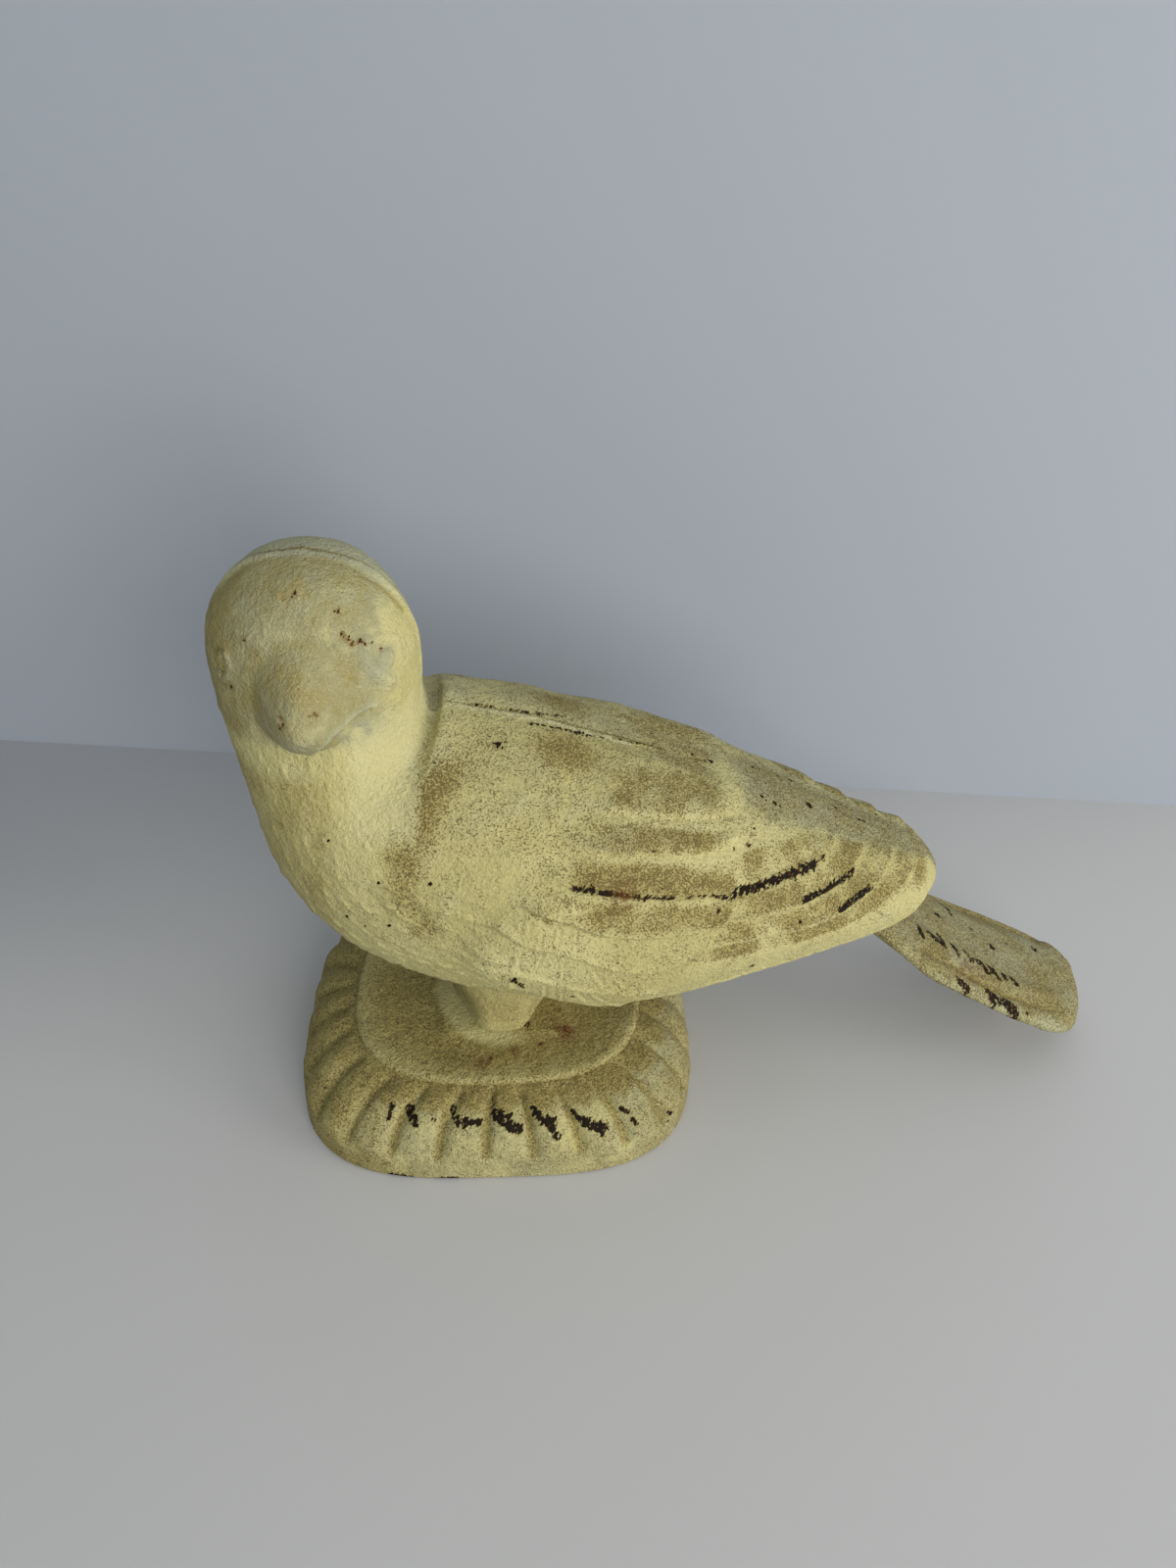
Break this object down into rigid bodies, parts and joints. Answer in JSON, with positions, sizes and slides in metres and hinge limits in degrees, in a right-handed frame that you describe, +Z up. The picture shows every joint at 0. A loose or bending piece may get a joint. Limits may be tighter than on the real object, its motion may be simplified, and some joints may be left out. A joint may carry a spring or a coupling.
{
  "type": "bird statue",
  "caption": "Painted cast iron bird with its head turned to one side, folded wings and a sloping tail, on a short stem and a fluted rectangular base.",
  "frame": {"origin": "middle of the whole bird's footprint box, on the surface that it stands on", "axes": "+X towards the tail tip, -Y towards the side that the head looks to, +Z up"},
  "size_m": [0.2144, 0.088, 0.144],
  "materials": {
    "cream_paint": "aged matt cream paint over sand-cast iron, with grime in the hollows and chips down to dark iron",
    "fastener_steel": "dull aged steel"
  },
  "bodies": {
    "root": {"left_half_casting": "cream_paint", "right_half_casting": "cream_paint", "tail": "cream_paint", "base_casting": "cream_paint", "cross_screw": "fastener_steel", "base_bolt": "fastener_steel", "bolt_washer": "fastener_steel", "bolt_nut": "fastener_steel"}
  },
  "joints": []
}
